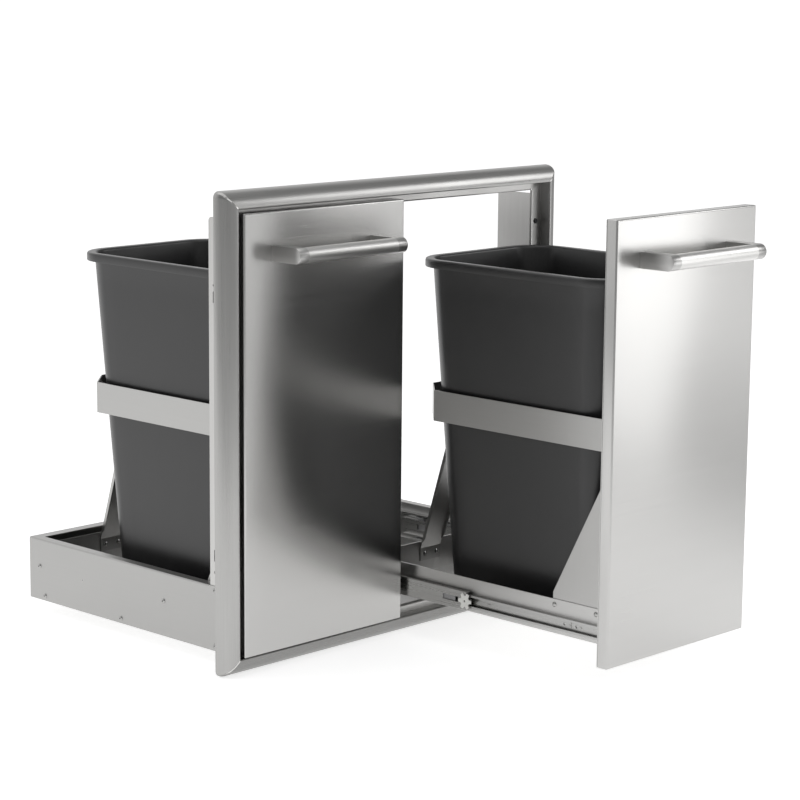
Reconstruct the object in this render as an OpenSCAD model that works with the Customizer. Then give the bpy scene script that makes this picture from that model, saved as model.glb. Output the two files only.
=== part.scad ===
// Built-in double pull-out bin unit: a bullnose trim bezel, a shallow base that
// carries two ball-bearing drawers, and a lift-out bin held by a collar in each.
// X runs across the unit, -Y points out of the wall, Z is up. The origin lies on
// the wall's face, at the floor of the cut-out, on the unit's centre line.

/* [Bezel] */
// Width over the bezel
unit_w = 686; // [676:1:700]
// Height over the bezel
unit_h = 673; // [665:1:680]
// How far the bezel hangs below the floor of the cut-out
bezel_drop = 18.5; // [17:0.5:20]
// Radius of the bullnose, which is also its width and its depth
bezel_r = 25; // [24:0.5:26]
// Distance from the bezel's front back to the door ledge
ledge_setback = 18.5; // [17:0.5:21]
// Width of the hem that lies on the wall
hem_w = 12; // [8:1:16]
// Bend radius of the bezel's front inner edge
bezel_edge_r = 2; // [1.5:0.5:3]

/* [Base] */
// Width over the base
base_w = 598; // [596:1:602]
// Depth of the base behind the wall's face
base_d = 472; // [470:1:490]
// Height of the base
base_h = 94; // [92:1:110]
// Width of the top flange on the base's sides
base_flange = 15; // [10:1:15]
// Width of the top flange on the base's rear panel
rear_flange = 18; // [10:1:20]
// Depth of the mounting flanges behind the wall's face
flange_depth = 61; // [56:1:64]

/* [Doors] */
// Height of a door
door_h = 617; // [612:1:618]
// Height of a door's bottom edge above the cut-out's floor
door_z = 7.5; // [7.5:0.5:9]
// Gap between a door and the bezel
door_gap = 6; // [4:0.5:8]
// Gap between the two doors
centre_gap = 6; // [4:0.5:8]
// Thickness of a door
door_t = 19; // [17:0.5:20]
// Height of the rubber bumpers between a door and the ledge
bumper_h = 2; // [1.5:0.5:3]

/* [Handles] */
// Length of a handle
handle_len = 208; // [180:4:240]
// Diameter of the bar
handle_d = 22; // [18:1:24]
// How far a handle stands out from its door
handle_out = 56.5; // [45:0.5:60]
// Width of a handle's end post
post_w = 17.5; // [14:0.5:22]
// Height of the bar's centre above the cut-out's floor
handle_z = 567; // [540:1:580]

/* [Drawers] */
// Full travel of the slides
slide_travel = 457; // [430:1:457]
// How far the right drawer is pulled out
right_open = 386; // [0:1:457]
// How far the left drawer is pulled out
left_open = 0; // [0:1:457]
// Height of the tray's walls
tray_h = 50; // [46:1:52]
// Height of the tray's underside above the cut-out's floor
tray_z = 36.5; // [34:0.5:38]
// Depth of the tray behind the wall's face
tray_d = 446; // [440:1:450]

/* [Collar] */
// Height of the band round the bin
collar_h = 45; // [40:1:50]
// Height of the band's lower edge
collar_z = 302.5; // [290:0.5:310]
// Width over the band
collar_w = 249; // [246:1:252]
// Depth of the band's rear face behind the wall's face
collar_d = 374; // [372:1:384]
// Size of the band's chamfered rear corners
collar_chamfer = 45; // [40:1:48]

/* [Bins] */
// Width over the rim
bin_w = 274; // [270:1:275]
// Length over the rim
bin_l = 374; // [366:1:376]
// Height of a bin
bin_h = 500.5; // [490:0.5:504]
// How far the rim stands out from the body
rim_out = 12; // [10:0.5:14]
// Height of the rim's roll
rim_h = 12; // [8:0.5:14]
// Wall thickness of a bin
bin_wall = 2.5; // [2:0.25:3]

/* [Hidden] */

$fn = 48;
steel = [0.74, 0.74, 0.72];
dark_steel = [0.55, 0.55, 0.54];
zinc = [0.66, 0.67, 0.68];
charcoal = [0.2, 0.2, 0.2];
nylon = [0.86, 0.86, 0.83];
rubber = [0.1, 0.1, 0.1];

sheet = 1.5;                  // gauge of the bezel, base and trays
bend_r = 2.5;                 // outer radius of a bend in that sheet
skin = 1.2;                   // gauge of the doors and slides
eps = 0.01;                   // overlap that makes cuts clean

bez_x = unit_w / 2;                      // outer edge of the bezel
bez_z0 = -bezel_drop;
bez_z1 = unit_h - bezel_drop;
open_x = bez_x - bezel_r;                // opening inside the bezel
open_z0 = bez_z0 + bezel_r;
open_z1 = bez_z1 - bezel_r;
ledge_y = -bezel_r + ledge_setback;      // face of the ledge
base_x = base_w / 2;
leg_x = base_x - sheet;                  // outer face of the side flanges
clear_x = leg_x - sheet;                 // clear half-width between them
clear_z0 = 17.5;                         // top of the bottom flange
clear_z1 = open_z1 - 12;                 // underside of the top flange
leg_z1 = clear_z1 - 4.5;                 // top end of the side flanges

door_x0 = centre_gap / 2;
door_x1 = open_x - door_gap;
door_cx = (door_x0 + door_x1) / 2;
door_back = ledge_y - bumper_h;
door_front = door_back - door_t;

rail_t = 3;                              // thickness of the centre rail
slide_w = 12.7;                          // slide thickness, cabinet to drawer
slide_h = 45;
slide_z = tray_z + 18;
slide_len = slide_travel;
drawer_member_len = slide_travel - 7;
cabinet_y = 2;                           // front end of the cabinet members
drawer_member_y = door_back + 2.5;            // front end of the drawer members
middle_len = 400;
middle_y = 43;                           // front end of the middle members

tray_x0 = rail_t / 2 + slide_w;          // outer faces of the tray
tray_x1 = leg_x - slide_w;
floor_z = tray_z + sheet;                // what a bin stands on

hold_cx = (tray_x0 + tray_x1) / 2 + 6;   // centre line of the bin, band and strut
bin_y0 = -4;                             // front of the rim
bin_top = floor_z + bin_h;
body_w = bin_w - 2 * rim_out;
body_l = bin_l - 2 * rim_out;
taper_x = 29;                            // draft of each long wall over its height
taper_y = 31;
corner_r = 46;                           // body corners at the top
corner_r_low = 34;

screw_r = 2;                             // shank of the sheet-metal screws
head_r = 3.6;
head_h = 2;
flange_hole_y = 50;                      // row of holes in the side flanges
flange_holes_z = [519, 113.5];
flange_slots_z = [502.5, 137.5];
flange_hole_r = 2.5;
flange_slot_len = 18;
side_screws = [[436, 7.5], [257, 7.5], [50, 7.5], [50, 88]];
slide_screws = [[161, 52], [448, 52]];

// ---- helpers -------------------------------------------------------------

// A block from its low corner to its high corner.
module block(lo, hi) {
    translate(lo) cube(hi - lo);
}

// Extrudes a shape drawn in X and Z along Y, from y0 to y1.
module along_y(y0, y1) {
    translate([0, y1, 0]) rotate([90, 0, 0]) linear_extrude(y1 - y0) children();
}

// Extrudes a shape drawn in Y and Z along X, from x0 to x1.
module along_x(x0, x1) {
    translate([x0, 0, 0]) rotate([90, 0, 90]) linear_extrude(x1 - x0) children();
}

// One quarter of a bent sheet's section: r is the outer radius, c the bend's
// centre, and q says which way the quarter points.
module bend(c, r, q, t = sheet) {
    low = [q[0] < 0 ? -r : 0, q[1] < 0 ? -r : 0];
    translate(c) intersection() {
        difference() {
            circle(r);
            circle(r - t);
        }
        translate(low) square(r);
    }
}

// A rectangle given by two corners.
module rect(a, b) {
    translate([min(a[0], b[0]), min(a[1], b[1])])
        square([abs(b[0] - a[0]), abs(b[1] - a[1])]);
}

// A rectangle with round corners, centred, made of exact arcs.
module round_rect(w, l, r) {
    square([w - 2 * r, l], center = true);
    square([w, l - 2 * r], center = true);
    for (i = [-1, 1], j = [-1, 1])
        translate([i * (w / 2 - r), j * (l / 2 - r)]) circle(r);
}

// A domed rivet that stands on a face at the origin, along +Z, with its shank
// going down.
module rivet(shank) {
    intersection() {
        cylinder(h = head_h, r = head_r);
        translate([0, 0, head_h - head_r * 1.4]) sphere(head_r * 1.4);
    }
    translate([0, 0, -shank]) cylinder(h = shank + eps, r = screw_r);
}

// The same with a hexagon socket, as a screw.
module screw(shank) {
    difference() {
        rivet(shank);
        translate([0, 0, head_h - 1.2]) cylinder(h = 2, r = 1.3, $fn = 6);
    }
}

// Turns +Z to point along +X or -X.
module facing_x(s) {
    rotate([0, s * 90, 0]) children();
}

// Turns +Z to point along +Y or -Y.
module facing_y(s) {
    rotate([-s * 90, 0, 0]) children();
}

// Puts a right-hand part on its own side, pulled out by its drawer's opening.
module placed(side, out) {
    translate([0, -out, 0]) mirror([side < 0 ? 1 : 0, 0, 0]) children();
}

function drawer_out(side) = side < 0 ? left_open : right_open;

// ---- bezel and flanges ---------------------------------------------------

// The bezel's section: x runs inward from the outer edge, y out from the wall.
module bezel_section() {
    arc_end = bezel_r - bezel_edge_r;
    edge_y = sqrt(pow(bezel_r, 2) - pow(bezel_edge_r, 2)) - bezel_edge_r;
    intersection() {
        translate([bezel_r, 0]) difference() {
            circle(bezel_r, $fn = 96);
            circle(bezel_r - sheet, $fn = 96);
        }
        square([arc_end, bezel_r]);
    }
    bend([arc_end, edge_y], bezel_edge_r, [1, 1]);
    rect([bezel_r - sheet, bezel_r - ledge_setback - sheet], [bezel_r, edge_y]);
    square([hem_w, sheet]);
}

// A rail along +X whose outer edge is at z = 0, mitred at both ends.
module bezel_rail(len) {
    intersection() {
        rotate([90, 0, 90]) linear_extrude(len)
            rotate(90) bezel_section();
        along_y(-bezel_r - eps, eps)
            polygon([[0, 0], [len, 0], [len - bezel_r, bezel_r], [bezel_r, bezel_r]]);
    }
}

module bezel_bottom() {
    color(steel) translate([-bez_x, 0, bez_z0]) bezel_rail(unit_w);
}

module bezel_top() {
    color(steel) translate([-bez_x, 0, bez_z1]) mirror([0, 0, 1]) bezel_rail(unit_w);
}

module bezel_side(side) {
    color(steel) mirror([side < 0 ? 1 : 0, 0, 0]) translate([bez_x, 0, bez_z0])
        rotate([0, -90, 0]) bezel_rail(unit_h);
}

// The ledge of a side flange, with its ends mitred to meet the top and bottom.
module side_ledge() {
    along_y(ledge_y, ledge_y + sheet)
        polygon([[open_x, open_z0], [open_x, open_z1],
                 [clear_x + bend_r, clear_z1 + bend_r / 2],
                 [clear_x + bend_r, clear_z0 - bend_r / 2]]);
}

module flange_side(side) {
    notch = 30;                          // foot and head of the slide's notch
    round_r = 6;
    color(steel) mirror([side < 0 ? 1 : 0, 0, 0]) {
        side_ledge();
        translate([0, 0, clear_z0]) linear_extrude(clear_z1 - clear_z0)
            bend([clear_x + bend_r, ledge_y + bend_r], bend_r, [-1, -1]);
        along_x(clear_x, leg_x) difference() {
            union() {
                rect([ledge_y + bend_r, clear_z0], [0, leg_z1]);
                rect([0, clear_z0], [flange_depth, leg_z1 - round_r]);
                rect([0, clear_z0], [flange_depth - round_r, leg_z1]);
                translate([flange_depth - round_r, leg_z1 - round_r]) circle(round_r);
            }
            rect([1, notch], [flange_depth + eps, slide_z + slide_h / 2 + 1.5]);
            for (z = flange_holes_z) translate([flange_hole_y, z]) circle(flange_hole_r);
            for (z = flange_slots_z) translate([flange_hole_y, z]) flange_slot();
            for (p = side_screws) if (p[0] < flange_depth) translate(p) circle(screw_r);
        }
    }
}

// A slot that runs up and down, flange_slot_len from end to end.
module flange_slot() {
    half = flange_slot_len / 2 - flange_hole_r;
    for (s = [-1, 1]) translate([0, s * half]) circle(flange_hole_r);
    square([2 * flange_hole_r, 2 * half], center = true);
}

// A flange across the unit: its ledge, its bend and its leg going back.
module cross_flange(z_open, z_clear, depth) {
    up = z_open > z_clear ? 1 : -1;
    color(steel) {
        along_y(ledge_y, ledge_y + sheet)
            polygon([[-open_x, z_open], [open_x, z_open],
                     [clear_x + bend_r, z_clear + up * bend_r / 2],
                     [clear_x, z_clear + up * bend_r],
                     [-clear_x, z_clear + up * bend_r],
                     [-clear_x - bend_r, z_clear + up * bend_r / 2]]);
        along_x(-clear_x, clear_x) {
            bend([ledge_y + bend_r, z_clear + up * bend_r], bend_r, [-1, -up]);
            rect([ledge_y + bend_r, z_clear], [depth, z_clear + up * sheet]);
        }
    }
}

module flange_top() { cross_flange(open_z1, clear_z1, -1); }
module flange_bottom() { cross_flange(open_z0, clear_z0, 1.5); }

// Rubber dots on the ledge that a closed door rests against.
module door_bumpers() {
    dot_r = 4;
    dot_x = door_x1 - dot_r - 2;
    color(rubber) for (s = [-1, 1], z = [70, 320, 570])
        translate([s * dot_x, ledge_y, z]) facing_y(-1)
            cylinder(h = bumper_h - 0.1, r1 = dot_r, r2 = dot_r - 0.8);
}

// ---- base ----------------------------------------------------------------

module base_side(side) {
    fold_y = flange_depth + 2;           // the top is folded in behind the flanges
    color(steel) mirror([side < 0 ? 1 : 0, 0, 0]) difference() {
        union() {
            block([leg_x, 1, 0], [base_x, base_d, base_h - bend_r]);
            block([leg_x, 1, 0], [base_x, fold_y, base_h]);
            along_y(fold_y, base_d)
                bend([base_x - bend_r, base_h - bend_r], bend_r, [1, 1]);
            block([base_x - base_flange, fold_y, base_h - sheet],
                  [base_x - bend_r + eps, base_d, base_h]);
        }
        for (p = concat(side_screws, slide_screws))
            translate([leg_x - 1, p[0], p[1]]) facing_x(1) cylinder(h = 5, r = screw_r);
    }
}

module base_rear_panel() {
    color(steel) {
        block([-leg_x, base_d - sheet, sheet], [leg_x, base_d, base_h - sheet]);
        block([-base_x + base_flange, base_d - rear_flange, base_h - sheet],
              [base_x - base_flange, base_d, base_h]);
    }
}

module base_floor() {
    upstand = 15;
    color(steel) difference() {
        union() {
            block([-leg_x, 3, 0], [leg_x, base_d, sheet]);
            for (s = [-1, 1]) translate([s < 0 ? -leg_x : leg_x - sheet, 3, 0])
                cube([sheet, base_d - 3 - sheet, upstand]);
        }
        for (s = [-1, 1], p = side_screws) translate([s * (leg_x + 1), p[0], p[1]])
            facing_x(-s) cylinder(h = 5, r = screw_r);
    }
}

module centre_rail() {
    foot = 12;
    color(steel) {
        block([-rail_t / 2, 3, sheet], [rail_t / 2, base_d - sheet, slide_z + slide_h / 2 + 3]);
        block([-foot, 3, sheet], [foot, base_d - sheet, 2 * sheet]);
    }
}

module base_screws() {
    color(zinc) for (s = [-1, 1]) {
        for (p = side_screws) translate([s * base_x, p[0], p[1]]) facing_x(s) screw(4);
        for (p = slide_screws) translate([s * base_x, p[0], p[1]]) facing_x(s)
            screw(sheet + skin);
    }
}

// ---- telescopic slides ---------------------------------------------------
// Sections: x runs from the cabinet's face (0) to the drawer's face (slide_w),
// y is the height from the slide's centre.

mid_x = 3;                               // back of the middle member
mid_h = 27;                              // height of the middle member
cage_t = 0.6;
drawer_h = 19;                           // height of the drawer member
drawer_lip_x = 5.6;                      // free edge of the drawer member

// A channel with its web at x0 and its lips ending at x1.
module channel(x0, x1, h, t = skin) {
    rect([x0, -h / 2], [x0 + (x0 < x1 ? t : -t), h / 2]);
    for (s = [-1, 1]) rect([x0, s * h / 2], [x1, s * (h / 2 - t)]);
}

module cabinet_section() {
    lip = 10;
    channel(0, lip, slide_h);
    for (s = [-1, 1]) rect([lip - skin, s * (slide_h / 2 - 2.2)], [lip, s * slide_h / 2]);
}

module middle_section() { channel(mid_x, 10.5, mid_h); }

module drawer_section() {
    channel(slide_w, drawer_lip_x, drawer_h);
    for (s = [-1, 1]) rect([drawer_lip_x, s * drawer_h / 2],
                           [drawer_lip_x + skin, s * (drawer_h / 2 - 3)]);
}

// Places a slide's section against the centre rail or the base's side.
module slide_side(outer) {
    if (outer) translate([leg_x, 0, slide_z]) mirror([1, 0, 0]) children();
    else translate([rail_t / 2, 0, slide_z]) children();
}

module cabinet_member(outer) {
    color(zinc) slide_side(outer) difference() {
        along_y(cabinet_y, cabinet_y + slide_len) cabinet_section();
        for (p = slide_screws) translate([-1, p[0], p[1] - slide_z]) facing_x(1)
            cylinder(h = 4, r = screw_r);
    }
}

module middle_member(outer) {
    slot_h = 8;
    slot_len = 30;
    color(zinc) slide_side(outer) difference() {
        along_y(middle_y, middle_y + middle_len) middle_section();
        for (y = [16, 180, 344])
            block([mid_x - 1, middle_y + y, -slot_h / 2],
                  [mid_x + 3, middle_y + y + slot_len, slot_h / 2]);
    }
}

module drawer_member(outer) {
    color(zinc) slide_side(outer) difference() {
        along_y(drawer_member_y, drawer_member_y + drawer_member_len) drawer_section();
        for (y = [42, 64, 240, 420])
            translate([slide_w - 3, drawer_member_y + y, 0]) facing_x(1) cylinder(h = 4, r = 2.2);
    }
}

// A ball cage: a channel that runs round the member inside it, with balls
// through its two legs.
module ball_cage(y0, len, x0, x1, leg_z, ball_r, ball_x) {
    balls = 6;
    along_y(y0, y0 + len) {
        rect([x0, -leg_z - cage_t / 2], [x0 + cage_t, leg_z + cage_t / 2]);
        for (s = [-1, 1]) rect([x0, s * leg_z - cage_t / 2], [x1, s * leg_z + cage_t / 2]);
    }
    for (i = [0 : balls - 1], s = [-1, 1])
        translate([ball_x, y0 + len * (i + 0.5) / balls, s * leg_z]) sphere(ball_r, $fn = 24);
}

outer_cage_z = (slide_h / 2 - skin + mid_h / 2) / 2;
inner_cage_z = (mid_h / 2 - skin + drawer_h / 2) / 2;

module outer_ball_cages() {
    color(dark_steel) for (outer = [false, true]) slide_side(outer)
        ball_cage(120, 200, skin + 0.3, 8, outer_cage_z, 3.4, 5.6);
}

module inner_ball_cages() {
    color(dark_steel) for (outer = [false, true]) slide_side(outer)
        ball_cage(162, 160, mid_x + skin + 0.3, 9.6, inner_cage_z, 1.15, 7.6);
}

// The nylon star wheel at the front end of each middle member.
module slide_stop_stars() {
    points = 6;
    star_r = 12;
    hub_r = 8;
    gap = 0.3;
    color(nylon) for (outer = [false, true]) slide_side(outer)
        translate([skin + gap, middle_y + 2, 0]) facing_x(1) difference() {
            linear_extrude(mid_x - skin - gap) {
                circle(hub_r);
                for (i = [0 : points - 1]) rotate(i * 360 / points)
                    polygon([[-4, 0], [-2.2, star_r], [2.2, star_r], [4, 0]]);
            }
            translate([0, 0, -1]) cylinder(h = 5, r = 1.8);
        }
}

// ---- drawers -------------------------------------------------------------

post_x = [door_cx - handle_len / 2 + post_w / 2, door_cx + handle_len / 2 - post_w / 2];
post_screw_r = 2.5;

// The folded front of a door: a shallow pan, open at the back.
module door_skin() {
    color(steel) difference() {
        block([door_x0, door_front, door_z], [door_x1, door_back, door_z + door_h]);
        block([door_x0 + skin, door_front + skin, door_z + skin],
              [door_x1 - skin, door_back + 1, door_z + door_h - skin]);
        for (x = post_x) translate([x, door_front + 2, handle_z]) facing_y(-1)
            cylinder(h = 5, r = post_screw_r + 0.2);
    }
}

// The pan that closes the back of a door.
module door_liner() {
    rim = door_t - 2 * skin;
    inset = skin;
    color(steel) difference() {
        block([door_x0 + inset, door_back - rim, door_z + inset],
              [door_x1 - inset, door_back, door_z + door_h - inset]);
        block([door_x0 + inset + skin, door_back - rim - 1, door_z + inset + skin],
              [door_x1 - inset - skin, door_back - skin, door_z + door_h - inset - skin]);
    }
}

module handle_bar() {
    color(steel) translate([post_x[0] + post_w / 2, door_front - handle_out + handle_d / 2, handle_z])
        facing_x(1) cylinder(h = handle_len - 2 * post_w, d = handle_d);
}

// The two end posts: blocks with a half-round nose in line with the bar.
module handle_posts() {
    nose_y = door_front - handle_out + handle_d / 2;
    color(steel) for (x = post_x) difference() {
        union() {
            block([x - post_w / 2, nose_y, handle_z - handle_d / 2],
                  [x + post_w / 2, door_front, handle_z + handle_d / 2]);
            translate([x - post_w / 2, nose_y, handle_z]) facing_x(1)
                cylinder(h = post_w, d = handle_d);
        }
        translate([x, door_front + 1, handle_z]) facing_y(-1)
            cylinder(h = 26, r = post_screw_r + 0.2);
    }
}

// The screws that hold the posts, put in from inside the door.
module handle_screws() {
    color(zinc) for (x = post_x) translate([x, door_front + skin, handle_z]) {
        facing_y(1) cylinder(h = 3, r = 4.5);
        facing_y(-1) cylinder(h = 22, r = post_screw_r);
    }
}

rivets_y = [3, 78];                      // rivets that join a gusset to the tray
rivet_z = tray_z + 42;
strut_w = 44;
strut_shift = 7;                         // each strut stands this far left of its bin's centre
plate_screw_x = 12.5;                    // screws at the strut's head and foot
strut_screw_z = 66.5;

// Centre line of a drawer's strut, in that drawer's own frame.
function strut_cx(side) = hold_cx - side * strut_shift;

// The pan a bin stands in, folded from one sheet.
module tray(side) {
    top = tray_z + tray_h;
    front_lip = 24;
    color(steel) difference() {
        union() {
            along_y(door_back, tray_d) {
                rect([tray_x0, tray_z + bend_r], [tray_x0 + sheet, top]);
                rect([tray_x1 - sheet, tray_z + bend_r], [tray_x1, top]);
                rect([tray_x0 + bend_r, tray_z], [tray_x1 - bend_r, tray_z + sheet]);
                bend([tray_x0 + bend_r, tray_z + bend_r], bend_r, [-1, -1]);
                bend([tray_x1 - bend_r, tray_z + bend_r], bend_r, [1, -1]);
            }
            block([tray_x0 + sheet, tray_d - sheet, tray_z + sheet],
                  [tray_x1 - sheet, tray_d, top]);
            block([tray_x0 + sheet, door_back, tray_z + sheet],
                  [tray_x1 - sheet, door_back + sheet, tray_z + front_lip]);
        }
        for (y = rivets_y) translate([tray_x0 - 1, y, rivet_z]) facing_x(1)
            cylinder(h = tray_x1, r = screw_r);
        for (s = [-1, 1]) translate([strut_cx(side) + s * plate_screw_x, tray_d + 1, strut_screw_z])
            facing_y(-1) cylinder(h = 6, r = screw_r);
    }
}

// The triangular plate that squares the door to the tray.
module gusset(outer) {
    foot_z = rivet_z - 12;
    tip_z = 272.5;
    reach = 82;
    heel_z = tray_z + tray_h + 9.5;      // top of the short upright edge at the rear
    x0 = outer ? tray_x1 - 2 * sheet : tray_x0 + sheet;
    lip = 12;
    lip_short = 44;                      // the lip stops this far below the tip
    color(steel) difference() {
        union() {
            along_x(x0, x0 + sheet)
                polygon([[door_back, foot_z], [door_back, tip_z],
                         [reach, heel_z], [reach, foot_z]]);
            translate([outer ? x0 - lip : x0 + sheet, door_back, foot_z])
                cube([lip, sheet, tip_z - foot_z - lip_short]);
        }
        for (y = rivets_y) translate([x0 - 1, y, rivet_z]) facing_x(1)
            cylinder(h = 4, r = screw_r);
    }
}

collar_screws_z = [collar_z + 10, collar_z + collar_h - 10];
collar_mid_z = collar_z + collar_h / 2;

// Outline of the band: square at the door, chamfered at the rear.
module collar_outline(inset) {
    w = collar_w / 2 - inset;
    c = collar_chamfer - inset * (2 - sqrt(2));
    d = collar_d - inset;
    polygon([[-w, door_back], [-w, d - c], [-w + c, d], [w - c, d], [w, d - c], [w, door_back]]);
}

module bin_collar(side) {
    lip = 12;
    color(steel) difference() {
        union() {
            translate([hold_cx, 0, collar_z]) linear_extrude(collar_h) difference() {
                collar_outline(0);
                collar_outline(sheet);
                rect([-collar_w, door_back - 1], [collar_w, door_back]);
            }
            for (s = [-1, 1]) translate([hold_cx + s * (collar_w / 2 - sheet - lip / 2),
                                         door_back + sheet / 2, collar_z + collar_h / 2])
                cube([lip + eps, sheet, collar_h], center = true);
        }
        for (s = [-1, 1], z = collar_screws_z)
            translate([hold_cx + s * (collar_w / 2 - sheet - lip / 2), door_back + 3, z])
                facing_y(-1) cylinder(h = 5, r = screw_r);
        for (s = [-1, 1]) translate([strut_cx(side) + s * plate_screw_x, collar_d + 1, collar_mid_z])
            facing_y(-1) cylinder(h = 5, r = screw_r);
    }
}

strut_foot_z = [56, 76];                 // foot plate on the tray's rear wall
strut_top_z = 298;                       // where the strut meets the band's plane
strut_y = tray_d - 2 * sheet;            // front of the foot plate

// The strut's plate seen from the side: foot, slope and head.
module strut_plate() {
    head_z = collar_z + collar_h - 4;
    polygon([[strut_y, strut_foot_z[0]], [strut_y + sheet, strut_foot_z[0]],
             [strut_y + sheet, strut_foot_z[1]], [collar_d + sheet, strut_top_z],
             [collar_d + sheet, head_z], [collar_d, head_z], [collar_d, strut_top_z],
             [strut_y, strut_foot_z[1]]]);
}

// A lip along the slope, which starts a little above the foot.
module strut_lip() {
    lip = 4;
    lead = 8;
    slope = (strut_y - collar_d) / (strut_top_z - strut_foot_z[1]);
    polygon([[strut_y - slope * lead + sheet / 2, strut_foot_z[1] + lead],
             [collar_d + sheet / 2, strut_top_z], [collar_d + sheet / 2, strut_top_z + 4],
             [collar_d - lip, strut_top_z - 2],
             [strut_y - lip - slope * lead * 2, strut_foot_z[1] + lead * 2]]);
}

// The strut that props the band from the tray's rear wall, a shallow channel.
module rear_strut(side) {
    x0 = strut_cx(side) - strut_w / 2;
    x1 = strut_cx(side) + strut_w / 2;
    color(steel) difference() {
        union() {
            along_x(x0, x1) strut_plate();
            along_x(x0, x0 + sheet) strut_lip();
            along_x(x1 - sheet, x1) strut_lip();
        }
        for (s = [-1, 1]) {
            translate([strut_cx(side) + s * plate_screw_x, tray_d + 1, strut_screw_z]) facing_y(-1)
                cylinder(h = 6, r = screw_r);
            translate([strut_cx(side) + s * plate_screw_x, collar_d + 3, collar_mid_z]) facing_y(-1)
                cylinder(h = 6, r = screw_r);
        }
    }
}

// All the screws and rivets that join one drawer's sheet parts.
module drawer_screws(side) {
    lip = 12;
    color(zinc) {
        for (y = rivets_y) {
            translate([tray_x0, y, rivet_z]) facing_x(-1) rivet(2 * sheet);
            translate([tray_x1, y, rivet_z]) facing_x(1) rivet(2 * sheet);
        }
        for (s = [-1, 1], z = collar_screws_z)
            translate([hold_cx + s * (collar_w / 2 - sheet - lip / 2), door_back + sheet, z])
                facing_y(1) screw(sheet);
        for (s = [-1, 1]) {
            translate([strut_cx(side) + s * plate_screw_x, strut_y, strut_screw_z]) facing_y(-1)
                screw(2 * sheet);
            translate([strut_cx(side) + s * plate_screw_x, collar_d + sheet, collar_mid_z]) facing_y(1)
                screw(2 * sheet);
        }
    }
}

// ---- bins ----------------------------------------------------------------

// A bin's tapered body, grown or shrunk by the wall's thickness.
module bin_body(inset, z0, z1) {
    span = bin_h - rim_h;
    hull() for (z = [z0, z1]) {
        k = 1 - z / span;
        w = body_w / 2 - inset - taper_x * k;
        l = body_l / 2 - inset - taper_y * k;
        r = corner_r + (corner_r_low - corner_r) * k - inset;
        for (i = [-1, 1], j = [-1, 1])
            translate([i * (w - r), j * (l - r), z]) cylinder(h = 0.02, r = r, $fn = 32);
    }
}

module bin() {
    lip = 2.2;
    rim_r = corner_r + rim_out;
    color(charcoal) translate([hold_cx, bin_y0 + bin_l / 2, floor_z]) {
        difference() {
            bin_body(0, 0, bin_h - rim_h);
            bin_body(bin_wall, bin_wall, bin_h - rim_h + 1);
        }
        translate([0, 0, bin_h - lip]) linear_extrude(lip) difference() {
            round_rect(bin_w, bin_l, rim_r);
            round_rect(body_w - 2 * bin_wall, body_l - 2 * bin_wall, corner_r - bin_wall);
        }
        translate([0, 0, bin_h - rim_h]) linear_extrude(rim_h) {
            difference() {
                round_rect(bin_w, bin_l, rim_r);
                round_rect(bin_w - 2 * lip, bin_l - 2 * lip, rim_r - lip);
            }
            difference() {
                round_rect(body_w, body_l, corner_r);
                round_rect(body_w - 2 * bin_wall, body_l - 2 * bin_wall, corner_r - bin_wall);
            }
        }
    }
}

// ---- nodes ---------------------------------------------------------------

bezel_top();
bezel_bottom();
bezel_side(-1);  // bezel_left
bezel_side(1);  // bezel_right
flange_top();
flange_bottom();
flange_side(-1);  // flange_left
flange_side(1);  // flange_right
base_side(-1);  // base_left_side
base_side(1);  // base_right_side
base_rear_panel();
base_floor();
centre_rail();
base_screws();
door_bumpers();
for (s = [-1, 1]) {
    name = s < 0 ? "left_" : "right_";
    out = drawer_out(s);
    placed(s, 0) cabinet_member(true);
    placed(s, 0) cabinet_member(false);
    placed(s, out / 4) outer_ball_cages();
    placed(s, out / 2) middle_member(false);
    placed(s, out / 2) middle_member(true);
    placed(s, out / 2) slide_stop_stars();
    placed(s, out * 3 / 4) inner_ball_cages();
    placed(s, out) drawer_member(false);
    placed(s, out) drawer_member(true);
    placed(s, out) door_skin();
    placed(s, out) door_liner();
    placed(s, out) handle_bar();
    placed(s, out) handle_posts();
    placed(s, out) handle_screws();
    placed(s, out) tray(s);
    placed(s, out) gusset(false);
    placed(s, out) gusset(true);
    placed(s, out) bin_collar(s);
    placed(s, out) rear_strut(s);
    placed(s, out) drawer_screws(s);
    placed(s, out) bin();
}
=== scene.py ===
import bpy
import bmesh
import math
from mathutils import Matrix, Vector


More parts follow.
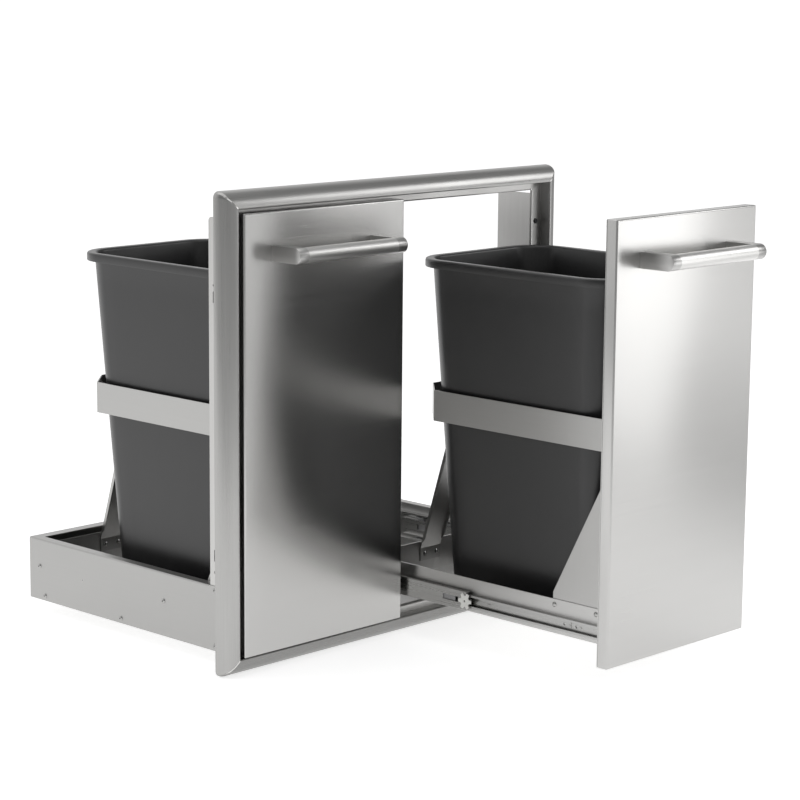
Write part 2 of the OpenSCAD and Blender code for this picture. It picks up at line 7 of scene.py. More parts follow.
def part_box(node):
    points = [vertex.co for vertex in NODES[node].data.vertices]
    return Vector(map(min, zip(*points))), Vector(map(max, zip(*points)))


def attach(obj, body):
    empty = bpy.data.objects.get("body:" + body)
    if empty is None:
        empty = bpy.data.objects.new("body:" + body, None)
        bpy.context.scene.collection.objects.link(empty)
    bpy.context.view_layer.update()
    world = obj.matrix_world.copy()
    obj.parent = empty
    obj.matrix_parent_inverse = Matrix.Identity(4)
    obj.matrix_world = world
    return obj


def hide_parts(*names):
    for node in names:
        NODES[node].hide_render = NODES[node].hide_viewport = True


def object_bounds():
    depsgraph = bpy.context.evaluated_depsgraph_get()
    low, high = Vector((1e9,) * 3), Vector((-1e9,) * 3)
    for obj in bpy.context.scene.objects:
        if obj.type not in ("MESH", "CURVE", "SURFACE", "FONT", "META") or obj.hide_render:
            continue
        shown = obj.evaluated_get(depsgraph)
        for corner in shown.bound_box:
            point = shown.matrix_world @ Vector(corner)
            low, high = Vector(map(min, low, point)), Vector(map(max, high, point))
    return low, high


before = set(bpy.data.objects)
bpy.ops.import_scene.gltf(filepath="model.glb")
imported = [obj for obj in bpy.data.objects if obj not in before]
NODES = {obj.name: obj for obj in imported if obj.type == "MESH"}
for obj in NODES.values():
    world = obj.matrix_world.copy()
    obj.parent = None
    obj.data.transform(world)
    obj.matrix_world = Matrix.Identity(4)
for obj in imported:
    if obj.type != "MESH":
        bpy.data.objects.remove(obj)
cad_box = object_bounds()
MM = 0.001


# ---------------------------------------------------------------- materials

def new_material(name):
    mat = bpy.data.materials.new(name)
    mat.use_nodes = True
    nt = mat.node_tree
    nt.nodes.clear()
    out = nt.nodes.new("ShaderNodeOutputMaterial")
    bsdf = nt.nodes.new("ShaderNodeBsdfPrincipled")
    nt.links.new(bsdf.outputs[0], out.inputs[0])
    return mat, nt, bsdf


def coords(nt, scale, rotation=(0, 0, 0)):
    tc = nt.nodes.new("ShaderNodeTexCoord")
    mp = nt.nodes.new("ShaderNodeMapping")
    mp.inputs["Scale"].default_value = scale
    mp.inputs["Rotation"].default_value = rotation
    nt.links.new(tc.outputs["Object"], mp.inputs["Vector"])
    return mp.outputs[0]


def noise_tex(nt, vec, scale=1.0, detail=4.0, rough=0.6, distortion=0.0):
    n = nt.nodes.new("ShaderNodeTexNoise")
    n.inputs["Scale"].default_value = scale
    n.inputs["Detail"].default_value = detail
    n.inputs["Roughness"].default_value = rough
    n.inputs["Distortion"].default_value = distortion
    nt.links.new(vec, n.inputs["Vector"])
    return n.outputs["Fac"]


def ramp(nt, fac, lo, hi, a=0.3, b=0.7):
    r = nt.nodes.new("ShaderNodeValToRGB")
    r.color_ramp.elements[0].position = a
    r.color_ramp.elements[0].color = (*lo, 1)
    r.color_ramp.elements[1].position = b
    r.color_ramp.elements[1].color = (*hi, 1)
    nt.links.new(fac, r.inputs[0])
    return r.outputs[0]


def span(nt, fac, lo, hi, a=0.3, b=0.7):
    m = nt.nodes.new("ShaderNodeMapRange")
    m.inputs["From Min"].default_value = a
    m.inputs["From Max"].default_value = b
    m.inputs["To Min"].default_value = lo
    m.inputs["To Max"].default_value = hi
    nt.links.new(fac, m.inputs["Value"])
    return m.outputs[0]


def mix_fac(nt, a, b, t):
    m = nt.nodes.new("ShaderNodeMix")
    m.data_type = "FLOAT"
    m.inputs[0].default_value = t
    nt.links.new(a, m.inputs[2])
    nt.links.new(b, m.inputs[3])
    return m.outputs[0]


GRAIN = {"X": (1, 0, 0), "Y": (0, 1, 0), "Z": (0, 0, 1)}


def steel(name, tone=(0.62, 0.615, 0.60), rough=0.26, grain="X", fine=900, run=14,
          streak=0.06, bump=0.05, aniso=0.45, blotch=0.05, edge=0.0, sheen=0.05):
    """Brushed stainless: long fine scratches along one axis, with slow changes of sheen."""
    mat, nt, bsdf = new_material(name)
    g = GRAIN[grain]
    vec = coords(nt, tuple(run if g[i] else fine for i in range(3)))
    hair = noise_tex(nt, vec, 1.0, 5.0, 0.72)
    wide = noise_tex(nt, coords(nt, tuple(run * 0.35 if g[i] else fine * 0.16 for i in range(3))),
                     1.0, 3.0, 0.6)
    cloud = noise_tex(nt, coords(nt, (7, 7, 7)), 1.0, 3.0, 0.5)
    lines = mix_fac(nt, hair, wide, 0.4)
    lo = tuple(c * (1 - streak) for c in tone)
    hi = tuple(min(1, c * (1 + streak)) for c in tone)
    nt.links.new(ramp(nt, lines, lo, hi), bsdf.inputs["Base Color"])
    add = nt.nodes.new("ShaderNodeMath")
    nt.links.new(span(nt, lines, rough - sheen, rough + sheen), add.inputs[0])
    nt.links.new(span(nt, cloud, -blotch, blotch), add.inputs[1])
    nt.links.new(add.outputs[0], bsdf.inputs["Roughness"])
    bsdf.inputs["Metallic"].default_value = 1.0
    bsdf.inputs["Anisotropic"].default_value = aniso
    geo = nt.nodes.new("ShaderNodeNewGeometry")
    tg = nt.nodes.new("ShaderNodeVectorMath")
    tg.operation = "CROSS_PRODUCT"
    tg.inputs[1].default_value = tuple(v + o for v, o in zip(g, (0.02, 0.03, 0.05)))
    nt.links.new(geo.outputs["Normal"], tg.inputs[0])
    nt.links.new(tg.outputs[0], bsdf.inputs["Tangent"])
    bp = nt.nodes.new("ShaderNodeBump")
    bp.inputs["Strength"].default_value = bump
    bp.inputs["Distance"].default_value = 0.0004
    nt.links.new(hair, bp.inputs["Height"])
    nt.links.new(bp.outputs[0], bsdf.inputs["Normal"])
    if edge:
        bv = nt.nodes.new("ShaderNodeBevel")
        bv.samples = 4
        bv.inputs["Radius"].default_value = edge
        nt.links.new(bv.outputs[0], bp.inputs["Normal"])
    return mat


def plastic(name, tone, rough, grain=0.12, spec=0.5, mottle=0.12, pitch=1400):
    """Moulded plastic: a fine pebble grain, scuffs and slow colour changes."""
    mat, nt, bsdf = new_material(name)
    pebble = noise_tex(nt, coords(nt, (pitch,) * 3), 1.0, 3.0, 0.6)
    cloud = noise_tex(nt, coords(nt, (9, 9, 5)), 1.0, 4.0, 0.55)
    scuff = noise_tex(nt, coords(nt, (90, 90, 14)), 1.0, 5.0, 0.7, 0.4)
    lo = tuple(c * (1 - mottle) for c in tone)
    hi = tuple(min(1, c * (1 + mottle)) for c in tone)
    nt.links.new(ramp(nt, mix_fac(nt, cloud, pebble, 0.35), lo, hi), bsdf.inputs["Base Color"])
    nt.links.new(span(nt, mix_fac(nt, scuff, cloud, 0.5), rough - 0.05, rough + 0.07),
                 bsdf.inputs["Roughness"])
    bsdf.inputs["Specular IOR Level"].default_value = spec
    bp = nt.nodes.new("ShaderNodeBump")
    bp.inputs["Strength"].default_value = grain
    bp.inputs["Distance"].default_value = 0.0003
    nt.links.new(pebble, bp.inputs["Height"])
    nt.links.new(bp.outputs[0], bsdf.inputs["Normal"])
    return mat


M_DOOR = steel("door_steel", (0.52, 0.516, 0.507), 0.25, "X", fine=1400, run=9, streak=0.03,
               bump=0.002, aniso=0.5, blotch=0.012, sheen=0.02)
M_LINER = steel("liner_steel", (0.68, 0.675, 0.662), 0.36, "X", edge=0.0006)
M_BEZ_H = steel("bezel_steel_h", (0.42, 0.417, 0.409), 0.30, "X", fine=1000, run=8, bump=0.05,
                streak=0.08, aniso=0.4, blotch=0.02)
# The bottom rail's steel is painted darker than the other rails: a painted dark reflection,
# standing in for the shaded floor under the open drawer.
M_BEZ_FOOT_PAINTED_REFLECTION = steel("bezel_steel_foot_painted_reflection", (0.28, 0.278, 0.272), 0.28, "X", fine=1000, run=8,
                   bump=0.05, streak=0.08, aniso=0.4, blotch=0.02)
M_BEZ_V = steel("bezel_steel_v", (0.42, 0.417, 0.409), 0.30, "Z", fine=1000, run=8, bump=0.05,
                streak=0.08, aniso=0.4, blotch=0.02)
M_POLISH = steel("mitre_polish", (0.74, 0.735, 0.72), 0.16, "Z", fine=1500, run=60, streak=0.03,
                 bump=0.01, aniso=0.2, blotch=0.01)
M_FLANGE = steel("flange_steel", (0.54, 0.535, 0.525), 0.33, "Z", edge=0.0006)
M_FLANGE_H = steel("flange_steel_h", (0.54, 0.535, 0.525), 0.33, "X", edge=0.0006)
M_BASE = steel("base_steel", (0.43, 0.427, 0.419), 0.38, "Y", fine=900, run=9, streak=0.03,
               bump=0.02, blotch=0.015, edge=0.0007)
M_TRAY = steel("tray_steel", (0.55, 0.546, 0.537), 0.36, "Y", fine=900, run=9, streak=0.03,
               bump=0.02, blotch=0.015, edge=0.0007)
M_BAND = steel("band_steel", (0.45, 0.447, 0.438), 0.32, "Y", fine=1100, run=9, streak=0.03,
               bump=0.02, blotch=0.01, edge=0.0006)
M_PLATE = steel("gusset_steel", (0.46, 0.457, 0.449), 0.34, "Z", fine=1100, run=9, streak=0.03,
                bump=0.02, blotch=0.01, edge=0.0006)
M_BAR = steel("bar_steel", (0.68, 0.675, 0.662), 0.36, "X", fine=1500, run=20, streak=0.04,
              bump=0.02, aniso=0.5, blotch=0.01)
M_POST = steel("post_steel", (0.50, 0.496, 0.487), 0.34, "Y", fine=1300, run=25, streak=0.05,
               bump=0.02, aniso=0.3, blotch=0.01)
M_ZINC = steel("slide_zinc", (0.44, 0.438, 0.43), 0.28, "Y", fine=500, run=6, streak=0.12,
               bump=0.02, aniso=0.3, blotch=0.02, edge=0.0004)
M_CAGE = steel("cage_steel", (0.36, 0.36, 0.365), 0.42, "Y", fine=500, run=6, streak=0.10)
M_SCREW = steel("screw_steel", (0.44, 0.44, 0.43), 0.2, "X", fine=1600, run=300, streak=0.1,
                aniso=0.2, blotch=0.02)
M_BIN = plastic("bin_plastic", (0.018, 0.018, 0.0185), 0.32, 0.08, 0.6)
M_NYLON = plastic("slide_nylon", (0.76, 0.76, 0.73), 0.42, 0.05, 0.5, 0.05)
M_RUBBER = plastic("bumper_rubber", (0.025, 0.025, 0.026), 0.7, 0.2, 0.3)


def dress(obj, mat):
    obj.data.materials.clear()
    obj.data.materials.append(mat)


def cad_material(n):
    if n == "door_bumpers":
        return M_RUBBER
    if n.endswith("_bin"):
        return M_BIN
    if "stop_stars" in n:
        return M_NYLON
    if "ball_cages" in n:
        return M_CAGE
    if "slide" in n:
        return M_ZINC
    if "screws" in n:
        return M_SCREW
    if "handle_bar" in n:
        return M_BAR
    if "handle_posts" in n:
        return M_POST
    if "door_skin" in n:
        return M_DOOR
    if "door_liner" in n:
        return M_LINER
    if n == "bezel_top":
        return M_BEZ_H
    if n == "bezel_bottom":
        return M_BEZ_FOOT_PAINTED_REFLECTION
    if n.startswith("bezel"):
        return M_BEZ_V
    if n in ("flange_top", "flange_bottom"):
        return M_FLANGE_H
    if n.startswith("flange"):
        return M_FLANGE
    if n.startswith("base") or n == "centre_rail":
        return M_BASE
    if "collar" in n:
        return M_BAND
    if "gusset" in n or "strut" in n:
        return M_PLATE
    return M_TRAY


for n, o in NODES.items():
    dress(o, cad_material(n))


# ---------------------------------------------------------------- mesh tools

def make_object(name, verts, faces, mat, body, smooth=True, angle=35):
    """A piece made from points and faces, which rides a body of the part."""
    me = bpy.data.meshes.new(name)
    me.from_pydata([tuple(v) for v in verts], [], faces)
    me.validate()
    bm = bmesh.new()
    bm.from_mesh(me)
    bmesh.ops.remove_doubles(bm, verts=bm.verts, dist=2e-6)
    bmesh.ops.recalc_face_normals(bm, faces=bm.faces)
    bm.to_mesh(me)
    bm.free()
    ob = bpy.data.objects.new(name, me)
    bpy.context.scene.collection.objects.link(ob)
    if smooth:
        me.shade_smooth()
        me.set_sharp_from_angle(angle=math.radians(angle))
    dress(ob, mat)
    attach(ob, body)
    return ob


def ring_faces(rings, n):
    """Quads that join each ring of n points to the next ring."""
    return [(i * n + k, i * n + (k + 1) % n, (i + 1) * n + (k + 1) % n, (i + 1) * n + k)
            for i in range(rings - 1) for k in range(n)]


# ---------------------------------------------------------------- bezel

bt_lo, bt_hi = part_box("bezel_top")
bb_lo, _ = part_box("bezel_bottom")
BX = bt_hi.x
BZ0, BZ1 = bb_lo.z, bt_hi.z
R = bt_hi.z - bt_lo.z
ST = 1.5 * MM                  # gauge of the bezel's sheet
HEM = 12 * MM                  # width of the hem on the wall
RETURN = 18.5 * MM             # depth of the return behind the front edge
CORNER_R = 9 * MM              # outside radius of the bezel's corners


def bezel_profile():
    """Closed section: (inset from the outer edge, distance out of the wall)."""
    er = 2 * MM
    ey = math.sqrt(R * R - er * er) - er
    back = R - RETURN - ST
    pts = [(0.0, 0.0)]
    a_end = math.degrees(math.acos(er / R))
    pts += [(R - R * math.cos(math.radians(a)), R * math.sin(math.radians(a)))
            for a in [a_end * i / 22 for i in range(1, 23)]]
    pts += [(R - er + er * math.sin(math.radians(a)), ey + er * math.cos(math.radians(a)))
            for a in (20, 40, 60, 75, 90)]
    pts += [(R, back), (R - ST, back), (R - ST, ey)]
    q = R - ST
    b_end = math.degrees(math.acos(er / q)) - 2
    pts += [(R - q * math.cos(math.radians(a)), q * math.sin(math.radians(a)))
            for a in [b_end * (1 - i / 14) for i in range(0, 14)]]
    pts += [(ST, ST), (HEM, ST), (HEM, 0.0)]
    return pts


def corner_radius(inset):
    """The mitred corner's radius at an inset from the outer edge."""
    return max(CORNER_R - inset * 0.75, 0.25 * MM)


def rails():
    """The bezel's four rails, swept along the frame and round its corners."""
    prof = bezel_profile()
    steps = 6
    half_w, half_h = BX, (BZ1 - BZ0) / 2
    cz = (BZ0 + BZ1) / 2

    def corner(t, sx, sz, start, stop):
        """The corner's arc in quadrant sx, sz at inset t, from angle start to stop."""
        rc = corner_radius(t)
        cxx, czz = half_w - t - rc, half_h - t - rc
        out = []
        for k in range(steps + 1):
            a = math.radians(start + (stop - start) * k / steps)
            out.append((sx * (cxx + rc * math.cos(a)), cz + sz * (czz + rc * math.sin(a))))
        return out

    # the bottom rail takes the darker steel with the painted dark reflection
    for name, mat in (("top", M_BEZ_H), ("bottom", M_BEZ_FOOT_PAINTED_REFLECTION), ("left", M_BEZ_V),
                      ("right", M_BEZ_V)):
        verts, faces = [], []
        for t, y in prof:
            if name == "top":
                line = corner(t, -1, 1, 45, 90) + corner(t, 1, 1, 90, 45)
            elif name == "bottom":
                line = corner(t, -1, -1, 45, 90) + corner(t, 1, -1, 90, 45)
            elif name == "left":
                line = corner(t, -1, -1, 45, 0) + corner(t, -1, 1, 0, 45)
            else:
                line = corner(t, 1, -1, 45, 0) + corner(t, 1, 1, 0, 45)
            verts += [(x, -y, z) for x, z in line]
        n = 2 * (steps + 1)
        m = len(prof)
        for i in range(m):
            j = (i + 1) % m
            for k in range(n - 1):
                faces.append((i * n + k, i * n + k + 1, j * n + k + 1, j * n + k))
        faces.append(tuple(i * n for i in range(m)))
        faces.append(tuple(i * n + n - 1 for i in reversed(range(m))))
        ob = make_object("bezel_rail_" + name, verts, faces, mat, "frame", angle=40)
        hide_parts("bezel_" + name)


rails()


def mitre_lines():
    """A polished line along each mitred corner of the bezel."""
    cz = (BZ0 + BZ1) / 2
    half_w, half_h = BX, (BZ1 - BZ0) / 2
    prof = bezel_profile()[1:28]   # the round front and its edge, without the hem
    lift, half_wide = 0.06 * MM, 0.595 * MM
    for name, sx, sz in (("tl", -1, 1), ("tr", 1, 1), ("bl", -1, -1), ("br", 1, -1)):
        verts, faces = [], []
        for i, (t, y) in enumerate(prof):
            rc = corner_radius(t)
            d = rc * math.cos(math.radians(45)) - rc - t
            a, b = prof[max(i - 1, 0)], prof[min(i + 1, len(prof) - 1)]
            run, rise = (b[0] - a[0]), (b[1] - a[1])
            size = math.hypot(run, rise)
            nx, ny = -rise / size, run / size
            for s in (-1, 1):
                x = half_w + d + nx * lift + s * half_wide
                z = half_h + d + nx * lift - s * half_wide
                verts.append((sx * x, -(y + ny * lift), cz + sz * z))
        for i in range(len(prof) - 1):
            faces.append((2 * i, 2 * i + 1, 2 * i + 3, 2 * i + 2))
        ob = make_object("mitre_line_" + name, verts, faces, M_POLISH, "frame", angle=60)


mitre_lines()


# ---------------------------------------------------------------- doors

def door(side):
    """A closed door: a rounded front pan, and a liner that shows as a seam near the back."""
    lo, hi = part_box(side + "_door_skin")
    body = side + "_drawer"
    fold = 2.5 * MM                # radius of the fold at the front
    corner = fold * 0.6
    groove = 0.84 * MM             # depth of the seam's groove
    turn = hi.y - 2.2 * MM         # where the pan's returns end
    steps = 4
    seg = 3
    verts = []
    cx, cz = (lo.x + hi.x) / 2, (lo.z + hi.z) / 2
    hw, hh = (hi.x - lo.x) / 2, (hi.z - lo.z) / 2
    # inset and depth of each ring, from the front face's edge to the back
    rings = []
    for k in range(steps + 1):
        a = math.radians(90 * k / steps)
        rings.append((fold - fold * math.sin(a), lo.y + fold - fold * math.cos(a)))
    rings += [(0.0, turn), (0.25 * MM, turn + 0.25 * MM),
              (groove, turn + 0.25 * MM), (groove, turn + 0.7 * MM),
              (0.3 * MM, turn + 0.7 * MM), (0.05 * MM, turn + 0.95 * MM),
              (0.05 * MM, hi.y - 0.5 * MM), (0.55 * MM, hi.y)]

    def loop(inset, y):
        rc = max(corner - inset, 0.15 * MM)
        pts = []
        for sx, sz, a0 in ((1, 1, 0), (-1, 1, 90), (-1, -1, 180), (1, -1, 270)):
            for k in range(seg + 1):
                a = math.radians(a0 + 90 * k / seg)
                pts.append((cx + sx * (hw - inset - rc) + rc * math.cos(a), y,
                            cz + sz * (hh - inset - rc) + rc * math.sin(a)))
        return pts

    n = 4 * (seg + 1)
    for inset, y in rings:
        verts += loop(inset, y)
    faces = ring_faces(len(rings), n)
    faces.append(tuple(range(n)))
    last = (len(rings) - 1) * n
    faces.append(tuple(reversed(range(last, last + n))))
    ob = make_object(side + "_door_panel", verts, faces, M_DOOR, body, angle=30)
    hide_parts(side + "_door_skin", side + "_door_liner")


def handle(side):
    """A round bar between two D-shaped posts, with a fine seam at each end."""
    body = side + "_drawer"
    plo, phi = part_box(side + "_handle_posts")
    blo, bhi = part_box(side + "_handle_bar")
    door_lo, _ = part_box(side + "_door_skin")
    rad = (bhi.z - blo.z) / 2
    zc = (bhi.z + blo.z) / 2
    yc = blo.y + rad
    pw = ((phi.x - plo.x) - (bhi.x - blo.x)) / 2
    # bar: a tube with a fine chamfer at each end where it meets the posts
    verts = []
    ease = 0.12 * MM
    prof = [(blo.x, rad - ease), (blo.x + ease, rad), (bhi.x - ease, rad), (bhi.x, rad - ease)]
    seg = 64
    for x, rr in prof:
        for k in range(seg):
            a = 2 * math.pi * k / seg
            verts.append((x, yc + rr * math.cos(a), zc + rr * math.sin(a)))
    faces = ring_faces(len(prof), seg)
    faces.append(tuple(range(seg)))
    last = (len(prof) - 1) * seg
    faces.append(tuple(reversed(range(last, last + seg))))
    ob = make_object(side + "_handle_tube", verts, faces, M_BAR, body, angle=40)
    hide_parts(side + "_handle_bar")
    # posts: D-shaped blocks, flat on the door, round at the front
    for tag, x0, x1 in (("a", plo.x, plo.x + pw), ("b", phi.x - pw, phi.x)):
        outline = []
        for k in range(25):
            a = math.radians(-90 - 180 * k / 24)
            outline.append((yc + rad * math.cos(a), zc + rad * math.sin(a)))
        outline = [(door_lo.y, zc - rad)] + outline + [(door_lo.y, zc + rad)]
        e = 0.5 * MM
        verts = []
        cy = (door_lo.y + yc - rad) / 2
        hy = (door_lo.y - (yc - rad)) / 2
        levels = [(x0, e), (x0 + e * 0.3, e * 0.3), (x0 + e, 0.0), (x1 - ease, 0.0), (x1, ease)]
        if tag == "b":
            levels = [(x0 + x1 - x, inset) for x, inset in reversed(levels)]
        m = len(outline)
        for x, inset in levels:
            ky, kz = (hy - inset) / hy, (rad - inset) / rad
            for y, z in outline:
                yy = y if y == door_lo.y else cy + (y - cy) * ky
                verts.append((x, yy, zc + (z - zc) * kz))
        faces = ring_faces(len(levels), m)
        faces.append(tuple(range(m)))
        last = (len(levels) - 1) * m
        faces.append(tuple(reversed(range(last, last + m))))
        po = make_object(side + "_handle_post_" + tag, verts, faces, M_POST, body, angle=32)
        if tag == "a":
            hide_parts(side + "_handle_posts")


# ---------------------------------------------------------------- bins

def bin_piece(side):
    """A tapered bin with a rolled rim and slightly bowed walls."""
    lo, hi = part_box(side + "_bin")
    cx, cy = (lo.x + hi.x) / 2, (lo.y + hi.y) / 2
    W, L, H = hi.x - lo.x, hi.y - lo.y, hi.z - lo.z
    out = 12 * MM
    rim_h = 12 * MM
    wall = 2.5 * MM
    taper_x, taper_y = 29 * MM, 31 * MM
    top_r, foot_r = 46 * MM, 34 * MM
    seg = 12                       # steps round a corner
    per = 10                       # steps along a side
    quadrants = ((1, 1), (-1, 1), (-1, -1), (1, -1))

    def loop(hw, hl, r, z, bulge=0.0):
        """A rounded rectangle at height z, with its sides bowed out by bulge."""
        pts = []
        for q, (sx, sy) in enumerate(quadrants):
            a0 = 90 * q
            for k in range(seg + 1):
                a = math.radians(a0 + 90 * k / seg)
                pts.append([sx * (hw - r) + r * math.cos(a), sy * (hl - r) + r * math.sin(a)])
            nq = (q + 1) % 4
            b0 = math.radians(90 * nq)
            s2 = quadrants[nq]
            e0 = pts[-1]
            e1 = [s2[0] * (hw - r) + r * math.cos(b0), s2[1] * (hl - r) + r * math.sin(b0)]
            for k in range(1, per):
                f = k / per
                pts.append([e0[0] + (e1[0] - e0[0]) * f, e0[1] + (e1[1] - e0[1]) * f])
        res = []
        for x, y in pts:
            bx, by = 0, 0
            if abs(x) > hw - r * 0.5:
                bx = bulge * max(0.0, 1 - (y / hl) ** 2) * (1 if x > 0 else -1)
            if abs(y) > hl - r * 0.5:
                by = bulge * max(0.0, 1 - (x / hw) ** 2) * (1 if y > 0 else -1)
            res.append((cx + x + bx, cy + y + by, z))
        return res

    span_z = H - rim_h

    def body(z, inset=0.0):
        """Half width, half length, corner radius and bow of the body at a height."""
        k = 1 - z / span_z
        hw = W / 2 - out - taper_x * k - inset
        hl = L / 2 - out - taper_y * k - inset
        r = top_r + (foot_r - top_r) * k - inset
        belly = 1.6 * MM * math.sin(math.pi * min(1, max(0, z / span_z)))
        return hw, hl, r, belly

    rings = []
    # outside, from the foot up: rounded foot, tapering wall, then the rolled rim
    foot = 5 * MM
    hw, hl, r, _ = body(0)
    rings.append(loop(hw - foot * 1.6, hl - foot * 1.6, r - foot * 1.2, lo.z + 0.3 * MM))
    for a in (0, 20, 45, 70, 90):
        t = math.radians(a)
        rings.append(loop(hw - foot + foot * math.sin(t), hl - foot + foot * math.sin(t),
                          r - foot + foot * math.sin(t), lo.z + foot - foot * math.cos(t)))
    for i in range(1, 15):
        z = foot + (span_z - foot - 1.5 * MM) * i / 14
        hw, hl, r, belly = body(z)
        rings.append(loop(hw, hl, r, lo.z + z, belly))
    hw, hl, r, _ = body(span_z)
    ro = r + out
    zr = hi.z
    rings.append(loop(hw + 0.8 * MM, hl + 0.8 * MM, r + 0.8 * MM, zr - rim_h + 1.2 * MM))
    rings.append(loop(hw + out - 2.2 * MM, hl + out - 2.2 * MM, ro - 2.2 * MM,
                      zr - rim_h + 1.0 * MM))
    rings.append(loop(hw + out - 1.8 * MM, hl + out - 1.8 * MM, ro - 1.8 * MM, zr - rim_h))
    rings.append(loop(hw + out - 0.5 * MM, hl + out - 0.5 * MM, ro - 0.5 * MM, zr - rim_h))
    rings.append(loop(hw + out, hl + out, ro, zr - rim_h + 0.7 * MM))
    for a in (0, 25, 50, 75, 90):
        t = math.radians(a)
        e = 3.2 * MM
        rings.append(loop(hw + out - e + e * math.cos(t), hl + out - e + e * math.cos(t),
                          ro - e + e * math.cos(t), zr - e + e * math.sin(t)))
    rings.append(loop(hw + 1.5 * MM, hl + 1.5 * MM, r + 1.5 * MM, zr))
    for a in (30, 60, 90):
        t = math.radians(a)
        e = 4 * MM
        rings.append(loop(hw + 1.5 * MM - e * math.sin(t), hl + 1.5 * MM - e * math.sin(t),
                          r + 1.5 * MM - e * math.sin(t), zr - e + e * math.cos(t)))
    for i in range(1, 13):
        z = span_z - (span_z - 10 * MM) * i / 12
        hw, hl, r, belly = body(z, wall)
        rings.append(loop(hw, hl, r, lo.z + z, belly))
    hw, hl, r, _ = body(3 * MM, wall)
    rings.append(loop(hw - 2 * MM, hl - 2 * MM, r - 2 * MM, lo.z + 5 * MM))
    rings.append(loop(hw - 7 * MM, hl - 7 * MM, r - 6 * MM, lo.z + 2.6 * MM))
    n = len(rings[0])
    verts = [p for ring in rings for p in ring]
    faces = ring_faces(len(rings), n)
    faces.append(tuple(reversed(range(n))))
    last = (len(rings) - 1) * n
    faces.append(tuple(range(last, last + n)))
    ob = make_object(side + "_bin_shell", verts, faces, M_BIN, side + "_bin_body", angle=50)
    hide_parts(side + "_bin")


def box_mesh(lo, hi):
    """Points and faces of a plain box."""
    verts = [(x, y, z) for x in (lo[0], hi[0]) for y in (lo[1], hi[1]) for z in (lo[2], hi[2])]
    faces = [(0, 1, 3, 2), (4, 6, 7, 5), (0, 4, 5, 1), (2, 3, 7, 6), (0, 2, 6, 4), (1, 5, 7, 3)]
    return verts, faces


def lances(side, place):
    """Small tabs pressed out of the web of a slide's drawer member."""
    lo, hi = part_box(side + "_" + place + "_slide_drawer_member")
    skin = 1.2 * MM
    raised = 0.7 * MM
    web_is_high = (side == "right") == (place == "inner")
    x0 = hi.x - skin - raised if web_is_high else lo.x + skin
    x1 = x0 + raised
    zc = (lo.z + hi.z) / 2
    verts, faces = [], []
    for y, long, tall in ((35, 4.5, 2.2), (52, 1.3, 8.0), (54, 3.4, 1.3), (205, 6.0, 2.4)):
        v, f = box_mesh((x0, lo.y + (y - long / 2) * MM, zc - tall / 2 * MM),
                        (x1, lo.y + (y + long / 2) * MM, zc + tall / 2 * MM))
        faces += [tuple(i + len(verts) for i in face) for face in f]
        verts += v
    ob = make_object(side + "_" + place + "_slide_lances", verts, faces, M_ZINC, side + "_drawer",
                     smooth=False)


def dimple(side):
    """A shallow round mark on the outside of the base's side panel."""
    lo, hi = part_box("base_" + side + "_side")
    x, out = (lo.x, -1) if side == "left" else (hi.x, 1)
    n, r, rise = 20, 1.5 * MM, 0.35 * MM
    yc, zc = 346 * MM, 48 * MM
    verts = []
    for rr, h in ((r, 0.0), (r * 0.8, rise * 0.8), (r * 0.35, rise)):
        verts += [(x + out * h, yc + rr * math.cos(2 * math.pi * k / n),
                   zc + rr * math.sin(2 * math.pi * k / n)) for k in range(n)]
    faces = ring_faces(3, n)
    faces.append(tuple(range(2 * n, 3 * n)))
    faces.append(tuple(reversed(range(n))))
    ob = make_object("base_" + side + "_stud", verts, faces, M_SCREW, "frame")


for side in ("left", "right"):
    door(side)
    handle(side)
    bin_piece(side)
    dimple(side)
    lances(side, "inner")
    lances(side, "outer")


# ---------------------------------------------------------------- stage, light, camera

def emitter(name, loc, target, size, power):
    """A rectangular soft light that faces a target."""
    light = bpy.data.lights.new(name, "AREA")
    light.shape = "RECTANGLE"
    light.size, light.size_y = size
    light.energy = power
    ob = bpy.data.objects.new(name, light)
    bpy.context.scene.collection.objects.link(ob)
    ob.location = loc
    ob.rotation_euler = (Vector(target) - Vector(loc)).to_track_quat("-Z", "Y").to_euler()


floor_z = cad_box[0][2] - 0.0006
me = bpy.data.meshes.new("floor")
S = 120
me.from_pydata([(-S, -S, floor_z), (S, -S, floor_z), (S, S, floor_z), (-S, S, floor_z)], [],
               [(0, 1, 2, 3)])
floor = bpy.data.objects.new("floor", me)
bpy.context.scene.collection.objects.link(floor)
fmat, fnt, fb = new_material("floor_paint_and_glow")
fac = noise_tex(fnt, coords(fnt, (3, 3, 3)), 1.0, 2.0, 0.5)
fnt.links.new(ramp(fnt, fac, (0.86, 0.86, 0.86), (0.88, 0.88, 0.88)), fb.inputs["Base Color"])
fb.inputs["Roughness"].default_value = 0.9
fb.inputs["Specular IOR Level"].default_value = 0.0
fb.inputs["Emission Color"].default_value = (1, 1, 1, 1)


def glow_fall(direction, near, far, lo, hi):
    """The floor's glow, which falls from hi to lo along a direction."""
    where = fnt.nodes.new("ShaderNodeTexCoord")
    reach = fnt.nodes.new("ShaderNodeVectorMath")
    reach.operation = "DOT_PRODUCT"
    reach.inputs[1].default_value = direction
    fnt.links.new(where.outputs["Object"], reach.inputs[0])
    fall = fnt.nodes.new("ShaderNodeMapRange")
    fall.interpolation_type = "SMOOTHSTEP"
    fall.inputs["From Min"].default_value = near
    fall.inputs["From Max"].default_value = far
    fall.inputs["To Min"].default_value = hi
    fall.inputs["To Max"].default_value = lo
    fnt.links.new(reach.outputs["Value"], fall.inputs["Value"])
    return fall.outputs[0]


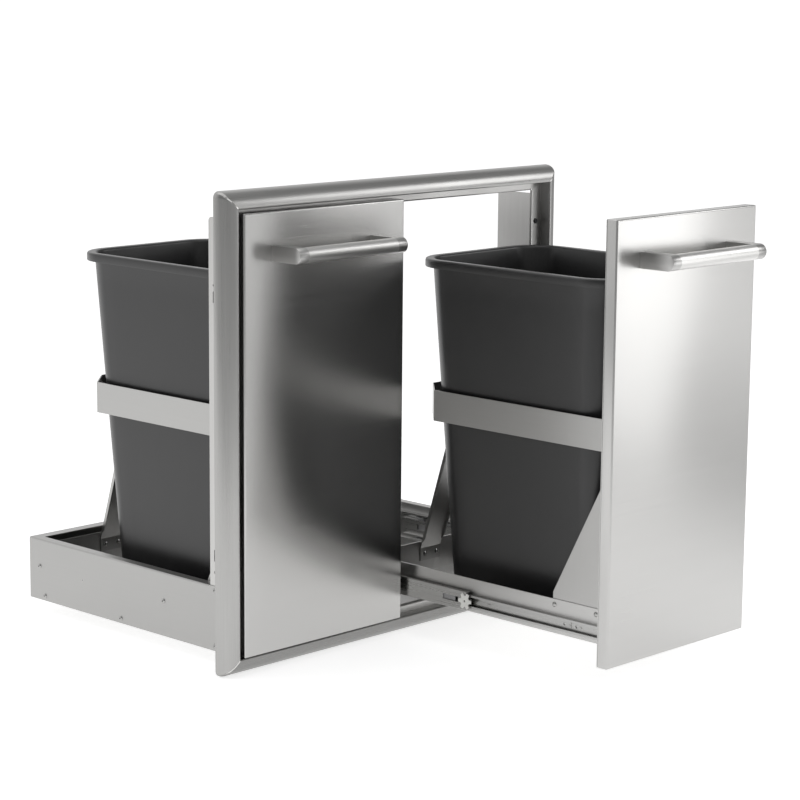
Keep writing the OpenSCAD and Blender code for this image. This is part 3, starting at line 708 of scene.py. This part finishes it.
# The floor glows as well as being painted pale: a painted pool of light, bright round the unit
# and fading out towards the front left and the front right.
both = fnt.nodes.new("ShaderNodeMath")
both.operation = "MULTIPLY"
fnt.links.new(glow_fall((-0.72, -0.69, 0), 0.95, 2.2, 0.08, 0.66), both.inputs[0])
fnt.links.new(glow_fall((0.57, -0.82, 0), 0.59, 1.9, 0.03, 1.0), both.inputs[1])
fnt.links.new(both.outputs[0], fb.inputs["Emission Strength"])
floor.data.materials.append(fmat)


def studio(base, glow, toward):
    """A dim room with a pale wall at the back."""
    world = bpy.data.worlds.new("studio")
    bpy.context.scene.world = world
    world.use_nodes = True
    nt = world.node_tree
    bg = nt.nodes["Background"]
    tc = nt.nodes.new("ShaderNodeTexCoord")
    dot = nt.nodes.new("ShaderNodeVectorMath")
    dot.operation = "DOT_PRODUCT"
    dot.inputs[1].default_value = Vector(toward).normalized()
    nt.links.new(tc.outputs["Generated"], dot.inputs[0])
    m = nt.nodes.new("ShaderNodeMapRange")
    m.interpolation_type = "SMOOTHSTEP"
    m.inputs["From Min"].default_value = 0.1
    m.inputs["From Max"].default_value = 0.65
    m.inputs["To Min"].default_value = base
    m.inputs["To Max"].default_value = glow
    nt.links.new(dot.outputs["Value"], m.inputs["Value"])
    nt.links.new(m.outputs[0], bg.inputs["Strength"])
    bg.inputs[0].default_value = (1, 1, 1, 1)


studio(0.30, 0.92, (-0.1, 1.0, 0.1))

# name, place, target, size in metres, watts
emitter("top", (-0.1, -0.1, 2.6), (-0.1, -0.1, 0), (2.0, 2.0), 11)
emitter("side_panel", (0.94, -1.355, 0.46), (0.15, -0.4, 0.36), (0.42, 0.9), 1.3)
emitter("far_panel", (2.1, -2.3, 0.5), (0.0, 0.0, 0.4), (2.2, 0.9), 5.0)
emitter("front_top", (-0.3, -2.3, 2.2), (0.0, -0.1, 0.45), (2.4, 1.3), 6)
emitter("right_top", (2.2, -1.6, 1.8), (0.1, -0.3, 0.45), (1.2, 0.9), 9)

FOCAL_PX = 2477.44
YAW, PITCH, ROLL = 0.8018014, 0.1777762, 0.0083341
EYE = Vector((-2.5429027, -2.4797462, 0.9674818))
fw = Vector((math.sin(YAW) * math.cos(PITCH), math.cos(YAW) * math.cos(PITCH), -math.sin(PITCH)))
rt = Vector((math.cos(YAW), -math.sin(YAW), 0))
up = rt.cross(fw)
r2 = math.cos(ROLL) * rt + math.sin(ROLL) * up
u2 = -math.sin(ROLL) * rt + math.cos(ROLL) * up
cam_data = bpy.data.cameras.new("camera")
cam_data.sensor_width = 36
cam_data.lens = FOCAL_PX * 36 / 800
cam_data.clip_end = 400
cam = bpy.data.objects.new("camera", cam_data)
bpy.context.scene.collection.objects.link(cam)
cam.matrix_world = Matrix(((r2.x, u2.x, -fw.x, EYE.x), (r2.y, u2.y, -fw.y, EYE.y),
                           (r2.z, u2.z, -fw.z, EYE.z), (0, 0, 0, 1)))
bpy.context.scene.camera = cam
bpy.context.scene.view_settings.view_transform = "Standard"
